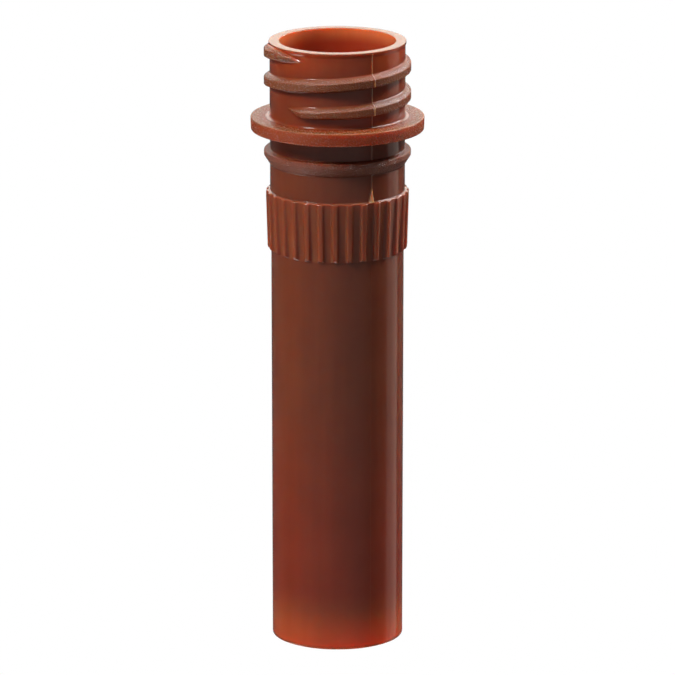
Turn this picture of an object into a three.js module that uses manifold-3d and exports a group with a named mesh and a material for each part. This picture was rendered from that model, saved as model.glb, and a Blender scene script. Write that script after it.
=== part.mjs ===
// A screw-neck micro tube with a skirted base. Millimetres, +Z up, standing on z = 0, axis on Z.
// The real tube is one moulding. Each mesh is one region of it, and the regions meet face to face.
// Angles go round the tube in degrees, from the front (-Y) towards +X.

import * as THREE from "three";
import { mergeVertices } from "three/addons/utils/BufferGeometryUtils.js";
import Module from "manifold-3d";

const wasm = await Module();
wasm.setup();

const SEGMENTS = 72;
const STEP = 360 / SEGMENTS;
const ARC_DIVISIONS = 5;

// Heights, from the foot to the mouth.
const LENGTH = 45;
const BOTTOM_Z = 4.3;
const SKIRT_TOP = 6.4;
const BOWL_TOP = 8;
const COLLAR_LOW = 29.56;
const COLLAR_TOP = 33.9;
const BEAD_LOW = 35.87;
const BEAD_CREST = 36.64;
const BEAD_TOP = 36.95;
const FLANGE_LOW = 38.45;
const FLANGE_TOP = 39.4;
const LIP_LOW = 44.7;

// Radii.
const FOOT_R = 4.825;
const SHOULDER_R = 4.87;
const NECK_R = 4.96;
const LIP_R = 5.03;
const FLANGE_R = 6.365;
const BEAD_R = 5.38;
const BORE_R = 4.1;
const MOUTH_R = 4.25;
const SKIRT_BORE_R = 4.05;
const RACK_HOLE_R = 5.5;
const BOTTOM_WALL = 0.8;

// Knurled grip collar: tapered ribs on a plain ring.
const RIBS = 30;
const RIB_PHASE = -2;
const RIB_TOP_R = 5.24;
const RIB_LOW_R = 5.136;
const RIB_ROOT_R = 5;
const RIB_FOOT_ANGLE = 2.9;
const RIB_CREST_ANGLE = 1.7;

// Right-hand, single-start thread of about two turns, on a neck of constant radius.
const THREAD_LEAD = 2.1;
const THREAD_FRONT_Z = 42.6;
const THREAD_START = -407.5;
const THREAD_END = 332.5;
const THREAD_HEIGHT = 0.42;
const CREST_HALF = 0.28;
const ROOT_HALF = 0.62;
const RUN_OUT = 40;
const TIP_SCALE = 0.15;
const START_RISE = 0.45;
const END_DROP = 0.25;

// Small pointed fin on the collar's ledge, against the neck.
const FIN_ANGLE = 6 * STEP;
const FIN_WIDTH = 0.4;
const FIN_HEIGHT = 1.2;
const FIN_TIP_SHARE = 0.15;

// Broken edges, and the slope where the flange meets the neck.
const EDGE = 0.1;
const ROOT_CHAMFER = 0.15;

const BROWN = { color: "#7a3b22", roughness: 0.3, metalness: 0 };

const root = new THREE.Group();
root.name = "micro_tube";

function add(name, geometry) {
  const mesh = new THREE.Mesh(geometry, new THREE.MeshStandardMaterial(BROWN));
  mesh.name = name;
  root.add(mesh);
  return mesh;
}

// Turns a closed outline in (radius, height) about Z, with a flat, not a vertex line, at the front.
function turned(outline) {
  const points = outline.getPoints(ARC_DIVISIONS);
  const firstLine = THREE.MathUtils.degToRad(STEP / 2);
  return new THREE.LatheGeometry(points, SEGMENTS, firstLine).rotateX(Math.PI / 2);
}

function outlineOf(points) {
  return new THREE.Path(points.map(([r, z]) => new THREE.Vector2(r, z))).closePath();
}

// The outer wall tapers in a straight line from the collar's top down to the foot.
function wallR(z) {
  return THREE.MathUtils.lerp(FOOT_R, SHOULDER_R, z / COLLAR_TOP);
}

// The bore narrows in a straight line from the mouth down to the top of the round bottom.
const BOWL_CENTRE_Z = BOTTOM_Z + BOTTOM_WALL + BORE_R;
function boreR(z) {
  return THREE.MathUtils.mapLinear(z, BOWL_CENTRE_Z, LENGTH, BORE_R, MOUTH_R);
}

// Angle of the bowl's arc, below the horizontal, at the height z.
function bowlAngle(z, radius) {
  return -Math.asin((BOWL_CENTRE_Z - z) / radius);
}

function skirt() {
  return outlineOf([
    [SKIRT_BORE_R, 0],
    [FOOT_R - EDGE, 0],
    [FOOT_R, EDGE],
    [wallR(SKIRT_TOP), SKIRT_TOP],
    [SKIRT_BORE_R, SKIRT_TOP],
  ]);
}

function roundBottom() {
  const outer = BORE_R + BOTTOM_WALL;
  const path = new THREE.Path();
  path.absarc(0, BOWL_CENTRE_Z, outer, -Math.PI / 2, bowlAngle(SKIRT_TOP, outer), false);
  path.lineTo(wallR(SKIRT_TOP), SKIRT_TOP);
  path.lineTo(wallR(BOWL_TOP), BOWL_TOP);
  path.absarc(0, BOWL_CENTRE_Z, BORE_R, bowlAngle(BOWL_TOP, BORE_R), -Math.PI / 2, true);
  return path;
}

function barrel() {
  const path = new THREE.Path();
  path.absarc(0, BOWL_CENTRE_Z, BORE_R, 0, bowlAngle(BOWL_TOP, BORE_R), true);
  path.lineTo(wallR(BOWL_TOP), BOWL_TOP);
  path.lineTo(wallR(COLLAR_LOW), COLLAR_LOW);
  path.lineTo(wallR(COLLAR_TOP), COLLAR_TOP);
  path.lineTo(boreR(COLLAR_TOP), COLLAR_TOP);
  return path.closePath();
}

function neck() {
  return outlineOf([
    [boreR(COLLAR_TOP), COLLAR_TOP],
    [NECK_R, COLLAR_TOP],
    [NECK_R, LIP_LOW],
    [boreR(LIP_LOW), LIP_LOW],
  ]);
}

function rimLip() {
  return outlineOf([
    [boreR(LIP_LOW), LIP_LOW],
    [NECK_R, LIP_LOW],
    [LIP_R, LIP_LOW + EDGE],
    [LIP_R, LENGTH - EDGE],
    [LIP_R - EDGE, LENGTH],
    [MOUTH_R + EDGE / 2, LENGTH],
    [MOUTH_R, LENGTH - EDGE / 2],
  ]);
}

// The underside has a vertex ring at the edge of a rack's hole: only the face outside it touches.
function rackFlange() {
  return outlineOf([
    [NECK_R, FLANGE_LOW - ROOT_CHAMFER],
    [NECK_R + ROOT_CHAMFER, FLANGE_LOW],
    [RACK_HOLE_R, FLANGE_LOW],
    [FLANGE_R - EDGE, FLANGE_LOW],
    [FLANGE_R, FLANGE_LOW + EDGE],
    [FLANGE_R, FLANGE_TOP - EDGE],
    [FLANGE_R - EDGE, FLANGE_TOP],
    [NECK_R + ROOT_CHAMFER, FLANGE_TOP],
    [NECK_R, FLANGE_TOP + ROOT_CHAMFER],
  ]);
}

function retainingBead() {
  return outlineOf([
    [NECK_R, BEAD_LOW],
    [BEAD_R, BEAD_CREST],
    [BEAD_R - EDGE / 2, BEAD_CREST + EDGE],
    [BEAD_R - 2 * EDGE, BEAD_TOP - EDGE / 2],
    [NECK_R, BEAD_TOP],
  ]);
}

function solidOf(geometry) {
  const bare = geometry.clone();
  bare.deleteAttribute("normal");
  bare.deleteAttribute("uv");
  const merged = mergeVertices(bare);
  const mesh = new wasm.Mesh({
    numProp: 3,
    vertProperties: merged.getAttribute("position").array,
    triVerts: new Uint32Array(merged.index.array),
  });
  return new wasm.Manifold(mesh);
}

function geometryOf(solid) {
  const mesh = solid.getMesh();
  return new THREE.BufferGeometry()
    .setAttribute("position", new THREE.BufferAttribute(mesh.vertProperties, 3))
    .setIndex(new THREE.BufferAttribute(mesh.triVerts, 1))
    .toNonIndexed();
}

// A toothed plate, cut to the ring that holds the ribs' taper and the barrel's own surface.
function gripCollar() {
  const teeth = new THREE.Shape();
  const corners = [
    [-RIB_FOOT_ANGLE, RIB_ROOT_R],
    [-RIB_CREST_ANGLE, RIB_TOP_R + EDGE],
    [RIB_CREST_ANGLE, RIB_TOP_R + EDGE],
    [RIB_FOOT_ANGLE, RIB_ROOT_R],
  ];
  const points = [];
  for (let rib = 0; rib < RIBS; rib++) {
    for (const [offset, radius] of corners) {
      const angle = THREE.MathUtils.degToRad(RIB_PHASE + (rib * 360) / RIBS + offset);
      points.push(new THREE.Vector2(radius * Math.sin(angle), -radius * Math.cos(angle)));
    }
  }
  teeth.setFromPoints(points);
  const plate = new THREE.ExtrudeGeometry(teeth, { depth: LENGTH, bevelEnabled: false });
  const ring = turned(
    outlineOf([
      [wallR(COLLAR_LOW), COLLAR_LOW],
      [RIB_LOW_R - EDGE, COLLAR_LOW],
      [RIB_LOW_R, COLLAR_LOW + EDGE],
      [RIB_TOP_R, COLLAR_TOP - EDGE],
      [RIB_TOP_R - EDGE, COLLAR_TOP],
      [wallR(COLLAR_TOP), COLLAR_TOP],
    ]),
  );
  return geometryOf(solidOf(ring).intersect(solidOf(plate)));
}

// A straight bar of the thread's section, bent round the neck. Its length is in degrees, and the
// section shrinks to a small tip over the run-out at each end.
function screwThread() {
  const section = new THREE.Shape([
    new THREE.Vector2(-ROOT_HALF, 0),
    new THREE.Vector2(ROOT_HALF, 0),
    new THREE.Vector2(CREST_HALF, THREAD_HEIGHT),
    new THREE.Vector2(-CREST_HALF, THREAD_HEIGHT),
  ]);
  const length = THREAD_END - THREAD_START;
  const bar = new THREE.ExtrudeGeometry(section, {
    depth: length,
    steps: length / STEP,
    bevelEnabled: false,
  });
  const at = bar.getAttribute("position");
  for (let i = 0; i < at.count; i++) {
    const along = at.getZ(i);
    const fromStart = THREE.MathUtils.smoothstep(along, 0, RUN_OUT);
    const fromEnd = THREE.MathUtils.smoothstep(length - along, 0, RUN_OUT);
    const scale = Math.max(TIP_SCALE, Math.min(fromStart, fromEnd));
    const shift = (1 - fromStart) * START_RISE - (1 - fromEnd) * END_DROP;
    const turn = THREAD_START + along;
    const radius = NECK_R + at.getY(i) * scale;
    const centre = THREAD_FRONT_Z + (THREAD_LEAD * turn) / 360 + shift;
    const angle = THREE.MathUtils.degToRad(turn);
    at.setXYZ(
      i,
      radius * Math.sin(angle),
      -radius * Math.cos(angle),
      Math.min(centre + at.getX(i) * scale, LIP_LOW),
    );
  }
  return bar;
}

// A wedge with its back flat on one facet of the neck, narrowing to a tip.
function indexFin() {
  const depth = RIB_TOP_R - EDGE - NECK_R;
  const side = new THREE.Shape([
    new THREE.Vector2(0, 0),
    new THREE.Vector2(depth, 0),
    new THREE.Vector2(0, FIN_HEIGHT),
  ]);
  const wedge = new THREE.ExtrudeGeometry(side, { depth: FIN_WIDTH, bevelEnabled: false });
  wedge.translate(0, 0, -FIN_WIDTH / 2);
  const at = wedge.getAttribute("position");
  for (let i = 0; i < at.count; i++) {
    const share = THREE.MathUtils.lerp(1, FIN_TIP_SHARE, at.getY(i) / FIN_HEIGHT);
    at.setXYZ(i, -at.getZ(i) * share, -at.getX(i), at.getY(i));
  }
  return wedge;
}

add("skirt", turned(skirt()));
add("round_bottom", turned(roundBottom()));
add("barrel", turned(barrel()));
add("grip_collar", gripCollar());
add("neck", turned(neck()));
add("retaining_bead", turned(retainingBead()));
add("rack_flange", turned(rackFlange()));
add("screw_thread", screwThread());
add("rim_lip", turned(rimLip()));

const fin = add("index_fin", indexFin());
const facetR = NECK_R * Math.cos(Math.PI / SEGMENTS);
const finAngle = THREE.MathUtils.degToRad(FIN_ANGLE);
fin.rotation.z = finAngle;
fin.position.set(facetR * Math.sin(finAngle), -facetR * Math.cos(finAngle), COLLAR_TOP);

export default root;
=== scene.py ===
"""A screw-neck micro tube in translucent brown polypropylene, on a white studio floor.

The real tube is one moulding, so the visual is one closed surface: a profile turned about Z, with the
thread, the knurls, the fin and the mould's parting line raised on it. Sizes are in millimetres until
the mesh is made. Angles go round the tube from the front (-Y) towards +X.
"""

import math

import bpy
import numpy as np
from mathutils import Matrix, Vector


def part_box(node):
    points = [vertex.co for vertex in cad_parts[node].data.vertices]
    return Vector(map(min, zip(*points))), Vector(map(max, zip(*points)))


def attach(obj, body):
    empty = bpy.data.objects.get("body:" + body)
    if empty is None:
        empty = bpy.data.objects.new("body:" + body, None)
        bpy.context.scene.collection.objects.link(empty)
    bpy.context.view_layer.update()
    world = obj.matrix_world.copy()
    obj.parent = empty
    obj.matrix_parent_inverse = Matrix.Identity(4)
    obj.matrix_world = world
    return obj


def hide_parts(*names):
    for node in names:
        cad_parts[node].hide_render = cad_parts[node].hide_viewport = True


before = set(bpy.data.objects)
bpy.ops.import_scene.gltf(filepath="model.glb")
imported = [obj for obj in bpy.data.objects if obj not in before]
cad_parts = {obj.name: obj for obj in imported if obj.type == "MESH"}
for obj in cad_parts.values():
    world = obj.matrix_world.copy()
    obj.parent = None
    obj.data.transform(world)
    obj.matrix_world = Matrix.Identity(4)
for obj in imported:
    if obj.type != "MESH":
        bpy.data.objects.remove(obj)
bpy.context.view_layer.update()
MM = 0.001


# ---------------------------------------------------------------- sizes, from the frame where it has them


def radius_of(node):
    """The largest radius of a CAD node."""
    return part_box(node)[1].x / MM


def low_of(node):
    """The height of a CAD node's lowest point."""
    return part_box(node)[0].z / MM


def top_of(node):
    """The height of a CAD node's highest point."""
    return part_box(node)[1].z / MM


LENGTH = top_of("rim_lip")
LIP_R = radius_of("rim_lip")
LIP_LOW = low_of("rim_lip")
LIP_EDGE = LENGTH - 0.12
NECK_R = radius_of("neck")
FLANGE_R = radius_of("rack_flange")
FLANGE_ROOT = 0.15
FLANGE_LOW = low_of("rack_flange") + FLANGE_ROOT
FLANGE_TOP = top_of("rack_flange") - FLANGE_ROOT
BEAD_R = radius_of("retaining_bead")
BEAD_LOW = low_of("retaining_bead")
BEAD_TOP = top_of("retaining_bead")
BEAD_CREST = BEAD_TOP - 0.4
COLLAR_R = radius_of("grip_collar")
COLLAR_LOW = low_of("grip_collar")
COLLAR_TOP = top_of("grip_collar")
FOOT_R = 4.825
SHOULDER_R = radius_of("barrel")
BORE_R = 4.1
MOUTH_R = 4.25
BOTTOM_Z = low_of("round_bottom")
BOTTOM_WALL = 0.8
BOWL_Z = BOTTOM_Z + BOTTOM_WALL + BORE_R
SKIRT_BORE_R = 4.05

RIBS = 30
PITCH = 360 / RIBS
RIB_PHASE = -2
RIB_CREST_HALF = 1.6
RIB_FOOT_HALF = 3.4
COLLAR_LOW_R = 5.136
VALLEY_TOP_R = 5.14
VALLEY_LOW_R = 4.87

THREAD_ROWS = 82
THREAD_LEAD = 2.1
THREAD_FRONT_Z = 42.6
THREAD_START = -410
THREAD_END = 336
THREAD_HEIGHT = radius_of("screw_thread") - NECK_R
CREST_HALF = 0.27
UPPER_ROOT = 0.62
LOWER_ROOT = 0.38
START_RUN = 23
END_RUN = 42
START_RISE = 0.5
START_TRIM = 0.15
TRIM_LONG = 80
TRIM_SHORT = 30
END_DROP = 0.25

CLOSEST_COLUMNS = 0.12
PARTING_ANGLE = 30.2
PARTING_HALF = 0.55
PARTING_HEIGHT = 0.07
SEAM_ON_SCREW_NECK = 1.0
SEAM_ON_NECK = 0.4
SEAM_ON_WALL = 0.06
FIN_HEIGHT = 1.2
FIN_DEPTH = 0.27
FIN_LEFT = 3.3
FIN_CREST = 0.9
FIN_RIGHT = 1.6


# ---------------------------------------------------------------- profile


def line(start, end, steps):
    """Points from start to end, in equal steps."""
    t = np.linspace(0, 1, steps + 1)[:, None]
    return (1 - t) * np.array(start, float) + t * np.array(end, float)


def arc(centre, radius, start, end, steps):
    """Points on an arc in the (radius, height) plane, in degrees from the outward direction."""
    a = np.radians(np.linspace(start, end, steps + 1))
    return np.stack([centre[0] + radius * np.cos(a), centre[1] + radius * np.sin(a)], 1)


def wall_r(z):
    """The outer wall's straight taper, from the collar's top to the foot."""
    return FOOT_R + (SHOULDER_R - FOOT_R) * z / COLLAR_TOP


def bore_r(z):
    """The bore's straight taper, from the bowl to the mouth."""
    return BORE_R + (MOUTH_R - BORE_R) * (z - BOWL_Z) / (LENGTH - BOWL_Z)


def corner(point, before, after, radius, steps=4):
    """A rounded corner: a curve that leaves the first side and joins the second at the radius."""
    point, before, after = (np.array(p, float) for p in (point, before, after))
    start = point + radius * (before - point) / np.linalg.norm(before - point)
    end = point + radius * (after - point) / np.linalg.norm(after - point)
    t = np.linspace(0, 1, steps + 1)[:, None]
    return (1 - t) ** 2 * start + 2 * t * (1 - t) * point + t**2 * end


def rounded(points, radii, steps=4):
    """The open outline through points, with each inner corner rounded by its radius."""
    out = [np.array([points[0]], float)]
    for i in range(1, len(points) - 1):
        out.append(corner(points[i], points[i - 1], points[i + 1], radii[i - 1], steps))
    out.append(np.array([points[-1]], float))
    return np.concatenate(out)


def tube_profile():
    """The whole section, from the round bottom's inner centre, over the rim and under the foot."""
    thread_low = FLANGE_TOP + 0.3
    neck_low_r = NECK_R - 0.02
    outer = BORE_R + BOTTOM_WALL
    dome_edge = -math.degrees(math.acos(SKIRT_BORE_R / outer))
    skirt_top = BOWL_Z + outer * math.sin(math.radians(dome_edge))
    parts = [
        arc((0, BOWL_Z), BORE_R, -90, 0, 14),
        line((bore_r(BOWL_Z + 2), BOWL_Z + 2), (bore_r(LENGTH - 1), LENGTH - 1), 6),
        rounded(
            [
                (bore_r(LENGTH - 0.5), LENGTH - 0.5),
                (MOUTH_R, LENGTH),
                (LIP_R, LENGTH),
                (LIP_R, LIP_LOW + 0.15),
                (NECK_R, LIP_LOW - 0.05),
                (NECK_R, LIP_LOW - 0.12),
            ],
            [0.09, 0.04, 0.05, 0.05],
        ),
        line((NECK_R, LIP_LOW - 0.15), (NECK_R, thread_low), THREAD_ROWS),
        rounded(
            [
                (NECK_R, FLANGE_TOP + 0.25),
                (NECK_R, FLANGE_TOP),
                (FLANGE_R, FLANGE_TOP),
                (FLANGE_R - 0.03, FLANGE_LOW),
                (neck_low_r, FLANGE_LOW),
                (neck_low_r, BEAD_TOP),
                (BEAD_R, BEAD_TOP),
                (BEAD_R, BEAD_CREST),
                (neck_low_r, BEAD_LOW),
                (neck_low_r, COLLAR_TOP + FIN_HEIGHT + 0.1),
            ],
            [0.2, 0.1, 0.08, 0.12, 0.1, 0.14, 0.06, 0.08],
            5,
        ),
        line((neck_low_r, COLLAR_TOP + FIN_HEIGHT), (neck_low_r, COLLAR_TOP + 0.3), 9),
        rounded(
            [
                (neck_low_r, COLLAR_TOP + 0.2),
                (neck_low_r, COLLAR_TOP + 0.03),
                (COLLAR_R, COLLAR_TOP - 0.05),
                (COLLAR_R, COLLAR_TOP - 0.35),
            ],
            [0.03, 0.08],
        ),
        line((COLLAR_R, COLLAR_TOP - 0.5), (COLLAR_LOW_R, COLLAR_LOW + 0.4), 6),
        rounded(
            [
                (COLLAR_LOW_R, COLLAR_LOW + 0.35),
                (COLLAR_LOW_R, COLLAR_LOW + 0.02),
                (wall_r(COLLAR_LOW), COLLAR_LOW - 0.08),
                (wall_r(COLLAR_LOW - 0.3), COLLAR_LOW - 0.3),
            ],
            [0.18, 0.08],
            6,
        ),
        line((wall_r(COLLAR_LOW - 1), COLLAR_LOW - 1), (wall_r(1), 1), 8),
        rounded(
            [
                (wall_r(0.5), 0.5),
                (FOOT_R, 0),
                (SKIRT_BORE_R, 0),
                (SKIRT_BORE_R, 0.5),
            ],
            [0.13, 0.1],
        ),
        line((SKIRT_BORE_R, 1), (SKIRT_BORE_R, skirt_top - 0.3), 4),
        arc((0, BOWL_Z), outer, dome_edge - 3, -90, 12),
    ]
    return np.concatenate(parts)


# ---------------------------------------------------------------- relief round the tube


def smooth(x, low, high):
    """0 below low, 1 above high, and a smooth rise between them."""
    t = np.clip((x - low) / (high - low), 0, 1)
    return t * t * (3 - 2 * t)


def columns():
    """Angles of the mesh's columns: closer together on the flanks of each knurl and at the parting line."""
    # In degrees, off the middle of a knurl.
    one_side = np.array([0.8, 1.6, 2.1, 2.6, 3.2, 4.2])
    one_knurl = np.concatenate([-one_side[::-1], one_side])
    knurls = np.concatenate([RIB_PHASE + PITCH * k + one_knurl for k in range(RIBS)])
    # In degrees, off the parting line, with the fin's edges and crest among them.
    across_fin = np.array([-3.3, -2.4, -1.4, -0.55, -0.25, 0, 0.25, 0.55, 0.9, 1.25, 1.6])
    parting = np.concatenate([PARTING_ANGLE + across_fin, PARTING_ANGLE + 180 + across_fin])
    clear = np.abs(angle_from(knurls[:, None], parting)).min(1) > CLOSEST_COLUMNS
    return np.sort(np.concatenate([knurls[clear], parting]) % 360)


def angle_from(angle, target):
    """How far angle is past target, from -180 to 180 degrees."""
    return (angle - target + 180) % 360 - 180


def thread_relief(angle, z):
    """Height of the screw thread above the neck, as the highest of its turns at each point."""
    relief = np.zeros(np.broadcast(angle, z).shape)
    for turn in range(-2, 2):
        along = angle + 360 * turn
        start = smooth(along, THREAD_START, THREAD_START + START_RUN)
        end = smooth(-along, -THREAD_END, -THREAD_END + END_RUN)
        share = np.minimum(start, end)
        centre = THREAD_FRONT_Z + THREAD_LEAD * along / 360
        centre = centre + (1 - start) * START_RISE - (1 - end) * END_DROP
        away = (z - centre) / np.maximum(share, 1e-6)
        upper = (UPPER_ROOT - away) / (UPPER_ROOT - CREST_HALF)
        trim = START_TRIM * smooth(-along, -THREAD_START - TRIM_LONG, -THREAD_START - TRIM_SHORT)
        lower = (LOWER_ROOT - trim + away) / (LOWER_ROOT - CREST_HALF)
        side = np.clip(np.minimum(upper, lower), 0, 1)
        ridge = THREAD_HEIGHT * share * (side + smooth(side, 0, 1)) / 2
        relief = np.maximum(relief, np.where(share > 0.01, ridge, 0))
    return relief


def rib_share(angle):
    """1 on the crest of a knurl and 0 in the valley beside it."""
    off = (angle - RIB_PHASE + PITCH / 2) % PITCH - PITCH / 2
    return smooth(-np.abs(off), -RIB_FOOT_HALF, -RIB_CREST_HALF)


def parting_share(angle):
    """1 on the parting line, at the front and at the back, and 0 beside it."""
    front = np.abs(angle_from(angle, PARTING_ANGLE))
    back = np.abs(angle_from(angle, PARTING_ANGLE + 180))
    return np.clip(1 - np.minimum(front, back) / PARTING_HALF, 0, 1)


def seam_share(angle, r, z):
    """Strength of the parting line: full on the screw neck, faint below it, none on the flange and bead."""
    below_flange = np.where(z > COLLAR_TOP, SEAM_ON_NECK, SEAM_ON_WALL)
    strength = np.where(z > FLANGE_TOP + 0.1, SEAM_ON_SCREW_NECK, below_flange)
    proud = (z < FLANGE_TOP + 0.1) & (z > BEAD_LOW) & (r > NECK_R + 0.02)
    return np.where(proud, 0, strength) * parting_share(angle)


def fin_relief(angle, z):
    """The small pointed fin that stands on the collar's ledge at the front parting line."""
    up = np.clip((z - COLLAR_TOP) / FIN_HEIGHT, 0, 1)
    size = 1 - up
    off = angle_from(angle, PARTING_ANGLE)
    left = (off + FIN_LEFT * size) / ((FIN_LEFT + FIN_CREST) * size + 0.1)
    right = (FIN_RIGHT * size - off) / ((FIN_RIGHT - FIN_CREST) * size + 0.1)
    return FIN_DEPTH * size * np.clip(np.minimum(left, right), 0, 1)


def tube_points():
    """The mesh's grid: x, y and z in millimetres, by profile point and column."""
    profile = tube_profile()
    angle = columns()[None, :]
    r = np.repeat(profile[:, :1], angle.size, 1)
    z = np.repeat(profile[:, 1:], angle.size, 1)
    outside = r > (BORE_R + FOOT_R) / 2
    on_thread = outside & (z > FLANGE_TOP + 0.05) & (z < LIP_EDGE)
    thread = np.where(on_thread, thread_relief(angle, z), 0)
    r = r + thread
    on_collar = outside & (z < COLLAR_TOP + 0.001) & (z > COLLAR_LOW - 0.1)
    height = np.clip((z - COLLAR_LOW) / (COLLAR_TOP - COLLAR_LOW), 0, 1)
    valley = VALLEY_LOW_R + (VALLEY_TOP_R - VALLEY_LOW_R) * height
    r = np.where(on_collar, valley_cut(r, valley, angle), r)
    on_wall = outside & (z < LIP_EDGE) & (z > 0.15) & ~on_collar
    seam = np.where(on_wall, seam_share(angle, r - thread, z), 0)
    r = r + PARTING_HEIGHT * seam
    room = np.maximum(COLLAR_R - 0.03 - r, 0)
    fin = np.where(on_wall & (z > COLLAR_TOP - 0.12), np.minimum(fin_relief(angle, z), room), 0)
    r = r + fin
    raised = np.where(on_collar, rib_share(angle), thread / THREAD_HEIGHT)
    # The share on the parting line and the fin, where the material paints a highlight.
    parting_highlight = np.maximum(seam, np.clip(fin / 0.05, 0, 1))
    a = np.radians(angle)
    return np.stack([r * np.sin(a), -r * np.cos(a), z], 2), {"raised": raised, "parting_highlight": parting_highlight}, profile


def valley_cut(r, valley, angle):
    """Lowers the collar's surface to the valley between its knurls."""
    share = rib_share(angle)
    return np.where(r > valley, valley + (r - valley) * share, r)


def make_tube():
    """The tube's closed mesh: the grid, with a fan of triangles at each pole."""
    grid, shares, profile = tube_points()
    rows, cols = grid.shape[:2]
    inner = rows - 2
    verts = grid[1:-1].reshape(-1, 3)
    poles = [[0, 0, profile[0, 1]], [0, 0, profile[-1, 1]]]
    verts = np.concatenate([verts, poles]) * MM
    i = np.arange(inner - 1)[:, None] * cols
    j = np.arange(cols)[None, :]
    k = (j + 1) % cols
    quads = np.stack([i + j, i + cols + j, i + cols + k, i + k], 2).reshape(-1, 4)
    ring = np.arange(cols)
    bottom = [(inner * cols, int(a), int((a + 1) % cols)) for a in ring]
    last = (inner - 1) * cols
    top = [(inner * cols + 1, int(last + (a + 1) % cols), int(last + a)) for a in ring]
    mesh = bpy.data.meshes.new("tube")
    mesh.from_pydata(verts.tolist(), [], quads.tolist() + bottom + top)
    mesh.validate()
    for name, values in shares.items():
        layer = mesh.attributes.new(name, "FLOAT", "POINT")
        layer.data.foreach_set("value", np.append(values[1:-1].ravel(), [0, 0]))
    mesh.polygons.foreach_set("use_smooth", [True] * len(mesh.polygons))
    mesh.update()
    tube = bpy.data.objects.new("tube", mesh)
    bpy.context.scene.collection.objects.link(tube)
    return tube


# ---------------------------------------------------------------- material


# The Mix node's number and colour sockets share their names, so they are called by place.
NUMBER_A, NUMBER_B, NUMBER_OUT = 2, 3, 0
COLOUR_A, COLOUR_B, COLOUR_OUT = 6, 7, 2


class Nodes:
    """Small helper that adds nodes to a tree and links them."""

    def __init__(self, tree):
        self.tree = tree
        tree.nodes.clear()

    def add(self, kind, inputs=(), **settings):
        """A new node, with its settings set, and its inputs set or linked."""
        node = self.tree.nodes.new(kind)
        for name, value in settings.items():
            setattr(node, name, value)
        for name, value in dict(inputs).items():
            if isinstance(value, bpy.types.NodeSocket):
                self.tree.links.new(value, node.inputs[name])
            else:
                node.inputs[name].default_value = value
        return node

    def math(self, operation, *values):
        """The result of a Math node."""
        return self.add("ShaderNodeMath", dict(enumerate(values)), operation=operation).outputs[0]

    def step(self, value, low, high, to_low=0.0, to_high=1.0):
        """Smooth step: to_low below low, to_high above high."""
        node = self.add(
            "ShaderNodeMapRange",
            {"Value": value, "From Min": low, "From Max": high, "To Min": to_low, "To Max": to_high},
            interpolation_type="SMOOTHSTEP",
        )
        return node.outputs["Result"]

    def mix(self, factor, first, second, **settings):
        """Colour mix: first where factor is 0, second where it is 1."""
        sockets = {"Factor": factor, COLOUR_A: first, COLOUR_B: second}
        node = self.add("ShaderNodeMix", sockets, data_type="RGBA", **settings)
        return node.outputs[COLOUR_OUT]


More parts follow.
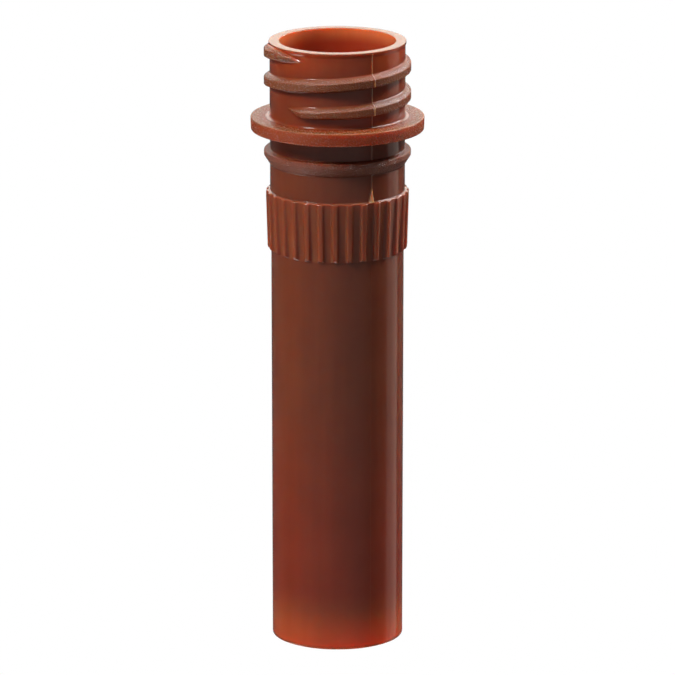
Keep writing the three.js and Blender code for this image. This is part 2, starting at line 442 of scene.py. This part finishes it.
def brown_plastic():
    """Brown polypropylene, grained on its raised features, with painted light in its colour: glow where
    light shows through thin parts and into the mouth, and painted sheen and highlights on the ridges, lip
    and parting line.
    """
    material = bpy.data.materials.new("brown_polypropylene")
    material.use_nodes = True
    n = Nodes(material.node_tree)
    place = n.add("ShaderNodeTexCoord").outputs["Object"]
    x, y, z = n.add("ShaderNodeSeparateXYZ", {"Vector": place}).outputs
    radius = n.math("SQRT", n.math("MULTIPLY_ADD", x, x, n.math("MULTIPLY", y, y)))
    # Shares from the mesh: how far a point is raised on a knurl or the thread, and where the parting line
    # and fin get a painted highlight.
    ridge = n.add("ShaderNodeAttribute", attribute_name="raised").outputs["Fac"]
    parting_highlight = n.add("ShaderNodeAttribute", attribute_name="parting_highlight").outputs["Fac"]

    # Patterns: fine mould grain, flow streaks along the tube, and soft clouds.
    grain = n.add("ShaderNodeTexNoise", {"Vector": place, "Scale": 9000.0, "Detail": 2.0}).outputs["Fac"]
    flow = n.add("ShaderNodeMapping", {"Vector": place, "Scale": (900.0, 900.0, 60.0)}).outputs[0]
    streak = n.add("ShaderNodeTexNoise", {"Vector": flow, "Scale": 1.0, "Detail": 3.0}).outputs["Fac"]
    cloud = n.add("ShaderNodeTexNoise", {"Vector": place, "Scale": 260.0, "Detail": 2.0}).outputs["Fac"]

    # Zones of the moulding, by radius and height. Most of them get a tint of painted light below.
    inside = n.step(radius, (MOUTH_R + 0.05) * MM, (MOUTH_R - 0.03) * MM)
    mouth = n.math("MULTIPLY", inside, n.step(z, (LENGTH - 1.2) * MM, (LENGTH - 0.1) * MM))
    foot = n.step(z, 22 * MM, 4 * MM)
    skirt = n.step(z, 4.6 * MM, 0.8 * MM)
    sole = n.step(z, 0.35 * MM, 0.08 * MM)
    neck = n.step(z, (BEAD_TOP + 0.3) * MM, FLANGE_TOP * MM)
    flange = n.step(radius, 5.3 * MM, 6.1 * MM)
    # The flange's top face, which gets a painted sheen.
    flange_top_sheen = n.math("MULTIPLY", flange, n.step(z, (FLANGE_TOP - 0.2) * MM, (FLANGE_TOP - 0.06) * MM))
    rim = n.step(z, (LENGTH - 2.4) * MM, (LENGTH - 0.6) * MM)
    lip = n.step(z, LIP_EDGE * MM, (LENGTH - 0.04) * MM)
    low_collar = n.step(z, (COLLAR_LOW - 0.2) * MM, COLLAR_LOW * MM)
    collar = n.math("MULTIPLY", low_collar, n.step(z, (COLLAR_TOP + 0.02) * MM, COLLAR_TOP * MM))
    rib = n.math("MULTIPLY", collar, ridge)
    valley = n.math("MULTIPLY", collar, n.math("SUBTRACT", 1.0, ridge))
    above_flange = n.step(z, FLANGE_TOP * MM, (FLANGE_TOP + 0.2) * MM)
    thread = n.math("MULTIPLY", n.step(ridge, 0.0, 0.45), above_flange)
    bead = n.math("MULTIPLY", n.step(z, BEAD_LOW * MM, (BEAD_LOW + 0.1) * MM),
                  n.step(z, (BEAD_TOP + 0.1) * MM, BEAD_TOP * MM))
    proud = n.math("MAXIMUM", n.step(radius, (NECK_R + 0.24) * MM, (NECK_R + 0.34) * MM), bead)
    clear_of_collar = n.step(z, (COLLAR_TOP + 0.5) * MM, (COLLAR_TOP + 0.8) * MM)
    grained = n.math("MAXIMUM", n.math("MULTIPLY", proud, clear_of_collar), thread)
    grained = n.math("MAXIMUM", grained, n.math("MULTIPLY", lip, 0.18))

    # The body's colour, then each zone's tint over it. The tints are painted light, all but the sole's
    # darker edge; the body colour and the mottle below are the plastic's own.
    colour = (0.225, 0.053, 0.022, 1)
    for zone, tint in (
        # Foot and skirt: painted glow of light showing through the thin lower wall, growing towards the
        # bottom. Sole: darker along the foot's bottom edge.
        (foot, (0.27, 0.040, 0.017, 1)),
        (skirt, (0.37, 0.084, 0.026, 1)),
        (sole, (0.14, 0.065, 0.028, 1)),
        # Valley and rib: painted glow of light through the knurled collar.
        (valley, (0.29, 0.070, 0.028, 1)),
        (rib, (0.28, 0.074, 0.031, 1)),
        # Neck and flange: painted glow of light through the neck's wall and the flange's thin edge. Flange
        # top: painted sheen and light on its upper face.
        (neck, (0.29, 0.053, 0.018, 1)),
        (flange, (0.34, 0.070, 0.021, 1)),
        (flange_top_sheen, (0.25, 0.085, 0.033, 1)),
        # Rim: painted glow below the rim, where light comes in at the mouth.
        (rim, (0.44, 0.068, 0.015, 1)),
        # Thread and bead: paler and greyer, painted glow and sheen on the raised ridges. Lip: paler and
        # greyer, a painted sheen on the rim's flat top.
        (thread, (0.28, 0.091, 0.042, 1)),
        (bead, (0.28, 0.075, 0.036, 1)),
        (lip, (0.26, 0.10, 0.05, 1)),
        # Inside and mouth: painted glow down the bore, and a painted pool of light just inside the mouth.
        (inside, (0.45, 0.063, 0.028, 1)),
        (mouth, (0.82, 0.26, 0.09, 1)),
        # Parting line and fin: a painted highlight.
        (parting_highlight, (0.58, 0.27, 0.15, 1)),
    ):
        colour = n.mix(zone, colour, tint)
    # A gentle mottle over every zone.
    shade = n.step(n.math("MULTIPLY_ADD", cloud, 0.5, n.math("MULTIPLY", streak, 0.5)), 0.3, 0.7)
    mottle = n.mix(shade, (0.93, 0.93, 0.93, 1), (1.07, 1.07, 1.07, 1))
    colour = n.mix(1.0, colour, mottle, blend_type="MULTIPLY")

    # Polished walls, grained raised features, and light that spreads further where the wall is thin.
    glossy = n.step(streak, 0.3, 0.7, 0.06, 0.10)
    frosted = n.step(grain, 0.3, 0.7, 0.15, 0.30)
    frosted = n.math("MULTIPLY", frosted, n.math("MULTIPLY_ADD", bead, -0.4, 1.0))
    walls_or_grain = {"Factor": grained, NUMBER_A: glossy, NUMBER_B: frosted}
    rough = n.add("ShaderNodeMix", walls_or_grain, data_type="FLOAT").outputs[NUMBER_OUT]
    coarse = n.math("MULTIPLY", grained, n.math("MULTIPLY_ADD", bead, 1.5, 1.0))
    height = n.math("MULTIPLY_ADD", grain, coarse, n.math("MULTIPLY", streak, 0.05))
    bump = n.add("ShaderNodeBump", {"Height": height, "Strength": 1.0, "Distance": 0.00008})
    thin = n.math("MAXIMUM", n.math("MAXIMUM", skirt, flange), n.math("MULTIPLY", collar, 0.6))
    spread = n.math("MULTIPLY_ADD", skirt, 0.0012, n.math("MULTIPLY_ADD", thin, 0.0012, 0.0005))
    shader = n.add(
        "ShaderNodeBsdfPrincipled",
        {
            "Base Color": colour,
            "Roughness": rough,
            "IOR": 1.49,
            "Subsurface Weight": 1.0,
            "Subsurface Radius": (1.0, 0.36, 0.16),
            "Subsurface Scale": spread,
            "Normal": bump.outputs[0],
        },
        subsurface_method="RANDOM_WALK",
    )
    n.add("ShaderNodeOutputMaterial", {"Surface": shader.outputs[0]})
    return material


# ---------------------------------------------------------------- studio


def studio_world():
    """A soft light tent. The camera sees plain white; the tube is lit by soft panels round it."""
    world = bpy.data.worlds.new("studio")
    world.use_nodes = True
    bpy.context.scene.world = world
    n = Nodes(world.node_tree)
    direction = n.add("ShaderNodeTexCoord").outputs["Generated"]
    x, y, z = n.add("ShaderNodeSeparateXYZ", {"Vector": direction}).outputs
    azimuth = n.math("MULTIPLY", n.math("ARCTAN2", x, n.math("MULTIPLY", y, -1.0)), 180 / math.pi)
    rise = n.math("MULTIPLY", n.math("ARCSINE", z), 180 / math.pi)

    def band(value, low, low_soft, high, high_soft):
        """1 between low and high, with soft ends."""
        return n.math("MULTIPLY", n.step(value, low - low_soft, low + low_soft),
                      n.step(value, high - high_soft, high + high_soft, 1.0, 0.0))

    path = n.add("ShaderNodeLightPath")
    brighter = n.step(azimuth, 90, 125, 0.45, 1.0)
    strip = n.math("MULTIPLY", band(azimuth, 95, 3, 128.5, 1.0), band(rise, -60, 10, 15, 10))
    strip = n.math("MULTIPLY", strip, brighter)
    key = n.math("MULTIPLY", band(azimuth, -68, 3, -52, 3), band(rise, 37, 3, 53, 3))
    tilted = n.math("MULTIPLY_ADD", azimuth, 0.69, n.math("SUBTRACT", rise, 117.7))
    second = n.math("MULTIPLY", band(azimuth, 88, 2, 140, 3), band(tilted, -5, 1.5, 5, 1.5))
    back = n.math("MULTIPLY", n.step(n.math("ABSOLUTE", azimuth), 145, 160), band(rise, 3, 3, 28, 8))
    below = n.math("MULTIPLY", band(azimuth, -125, 8, -72, 5), band(rise, -60, 5, -38, 5))
    under = n.step(rise, -78, -84)
    top = n.step(rise, 50, 62)
    front = n.math("MULTIPLY", band(azimuth, -70, 30, 50, 20), band(rise, -30, 8, -4, 8))
    total = 0.085
    lobes = (
        # The long reflection down the right side.
        (strip, 0.56),
        # A small bright lamp, high on the left, and a tilted bar, high on the right.
        (key, 46.0),
        (second, 29.0),
        # Behind the tube: it whitens the rim's flat top.
        (back, 1.8),
        # From below, for the bead's cone and the foot.
        (below, 4.0),
        (under, 5.0),
        # Overhead, and a weak fill from the front.
        (top, 1.6),
        (front, 0.16),
    )
    for lobe, level in lobes:
        total = n.math("ADD", n.math("MULTIPLY", lobe, level), total)
    seen = path.outputs["Is Camera Ray"]
    warmth = n.mix(n.math("MAXIMUM", back, strip), (1, 1, 1, 1), (1, 0.93, 0.84, 1))
    light = n.add("ShaderNodeBackground", {"Color": warmth, "Strength": total})
    plain = n.add("ShaderNodeBackground", {"Color": (1, 1, 1, 1), "Strength": 1.0})
    mix = n.add("ShaderNodeMixShader", {0: seen, 1: light.outputs[0], 2: plain.outputs[0]})
    n.add("ShaderNodeOutputWorld", {"Surface": mix.outputs[0]})


def foot_lamp():
    """A small lamp under the hollow foot, whose light shows through the thin skirt."""
    data = bpy.data.lights.new("foot_lamp", "AREA")
    data.shape = "DISK"
    data.size = 2 * (FOOT_R - 0.1) * MM
    data.energy = 0.0005
    lamp = bpy.data.objects.new("foot_lamp", data)
    lamp.location = (0, 0, -2 * MM)
    lamp.rotation_euler = (math.pi, 0, 0)
    bpy.context.scene.collection.objects.link(lamp)


def floor():
    """A plain white floor that only the camera sees."""
    mesh = bpy.data.meshes.new("floor")
    side = 20.0
    corners = [(-side, -side, 0), (side, -side, 0), (side, side, 0), (-side, side, 0)]
    mesh.from_pydata(corners, [], [(0, 1, 2, 3)])
    plane = bpy.data.objects.new("floor", mesh)
    bpy.context.scene.collection.objects.link(plane)
    material = bpy.data.materials.new("white_floor")
    material.use_nodes = True
    n = Nodes(material.node_tree)
    glow = n.add("ShaderNodeEmission", {"Color": (1, 1, 1, 1), "Strength": 1.0})
    n.add("ShaderNodeOutputMaterial", {"Surface": glow.outputs[0]})
    mesh.materials.append(material)
    plane.visible_glossy = False
    plane.visible_diffuse = False
    plane.visible_shadow = False


def camera():
    """The photographed view: from well back, a little above, through a long lens."""
    down = 14.775
    data = bpy.data.cameras.new("camera")
    data.sensor_width = 36
    data.lens = 327.8
    data.clip_end = 100
    view = bpy.data.objects.new("camera", data)
    view.location = (0, -0.438, 0.13813)
    view.rotation_euler = (math.radians(90 - down), 0, 0)
    bpy.context.scene.collection.objects.link(view)
    bpy.context.scene.camera = view


bpy.context.scene.view_settings.view_transform = "Standard"
camera()
tube = make_tube()
tube.data.materials.append(brown_plastic())
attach(tube, "root")
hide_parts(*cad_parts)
studio_world()
foot_lamp()
floor()
